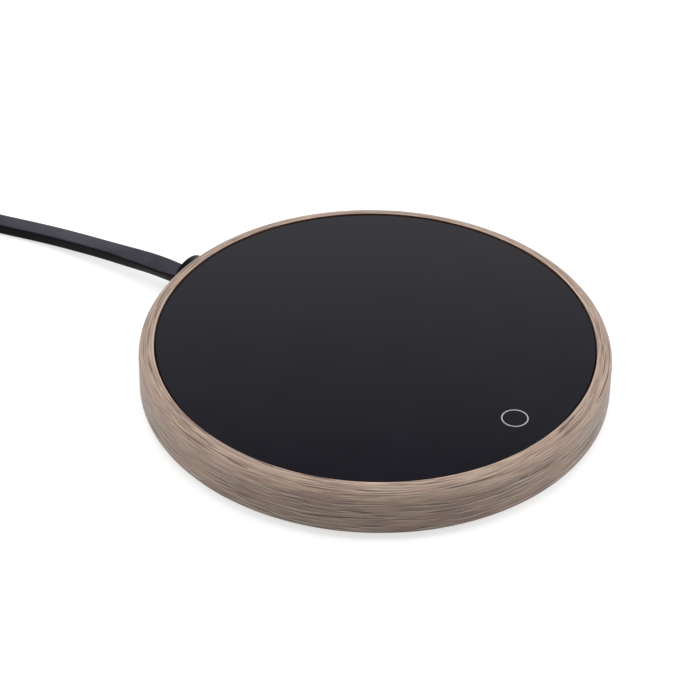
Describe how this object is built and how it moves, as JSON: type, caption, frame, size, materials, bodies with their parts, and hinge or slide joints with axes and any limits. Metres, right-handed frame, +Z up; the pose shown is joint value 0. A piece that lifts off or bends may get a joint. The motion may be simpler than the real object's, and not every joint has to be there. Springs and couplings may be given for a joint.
{
  "type": "mug warmer",
  "caption": "Flat round electric mug warmer: black glass plate with a touch mark, set flush in a rounded wooden ring, with a flat mains cord and a two-pin plug.",
  "frame": {"origin": "on the table under the centre of the ring, level with the undersides of the feet", "axes": "+Z up along the ring's axis, the touch mark towards -Y, the cord leaving towards +Y"},
  "size_m": [0.1958, 0.2608, 0.016],
  "materials": {
    "wood": "weathered oak-like grain, satin lacquer",
    "glass": "black ceramic glass, satin gloss",
    "print": "light grey printed line",
    "silicone": "black silicone",
    "black_plastic": "fine satin black plastic",
    "foot_rubber": "matte black rubber",
    "steel": "zinc-plated steel",
    "aluminium": "plain sheet",
    "thermal_silicone": "soft grey-blue sheet",
    "mica": "pressed mica sheet",
    "resistance_foil": "etched foil",
    "ceramic_felt": "white ceramic fibre felt",
    "board": "green solder mask",
    "component_plastic": "moulded component body",
    "terminal_plastic": "white nylon",
    "film_yellow": "dipped yellow case",
    "varistor_blue": "dipped blue case",
    "ceramic_white": "white ceramic tube",
    "light_guide": "milky light guide",
    "led": "clear light emitter",
    "foam": "conductive foam",
    "thermistor_glass": "small glass bead",
    "lead_brown": "brown insulation",
    "lead_blue": "blue insulation",
    "lead_white": "white sleeve",
    "cord_black": "satin black sheath",
    "pin_metal": "nickel-plated brass"
  },
  "bodies": {
    "root": {"base_cover": "black_plastic", "base_screws": "steel", "board_fuse": "ceramic_white", "board_screws": "steel", "circuit_board": "board", "clamp_screws": "steel", "controller_chip": "component_plastic", "cord_clamp_bar": "black_plastic", "cord_coil": "cord_black", "cord_gland": "black_plastic", "cord_inner_end": "cord_black", "film_capacitor": "film_yellow", "glass_gasket": "silicone", "glass_plate": "glass", "heat_shield": "aluminium", "heat_spreader": "aluminium", "heater_lead_1": "lead_white", "heater_lead_2": "lead_white", "heater_terminal_block": "terminal_plastic", "heating_track": "resistance_foil", "indicator_light": "led", "insulation_disc": "ceramic_felt", "light_guide": "light_guide", "live_lead": "lead_brown", "lower_mica_sheet": "mica", "mains_terminal_block": "terminal_plastic", "neutral_lead": "lead_blue", "plug_body": "black_plastic", "plug_pins": "pin_metal", "power_cord": "cord_black", "power_switch": "component_plastic", "rubber_foot_1": "foot_rubber", "rubber_foot_2": "foot_rubber", "rubber_foot_3": "foot_rubber", "rubber_foot_4": "foot_rubber", "shield_screws": "steel", "smoothing_capacitor": "component_plastic", "thermal_fuse": "ceramic_white", "thermal_fuse_clip": "steel", "thermal_pad": "thermal_silicone", "thermistor": "thermistor_glass", "thermistor_leads": "lead_white", "thermistor_socket": "terminal_plastic", "touch_mark_print": "print", "touch_sensor_foam": "foam", "upper_mica_sheet": "mica", "varistor": "varistor_blue", "wood_ring": "wood"}
  },
  "joints": []
}
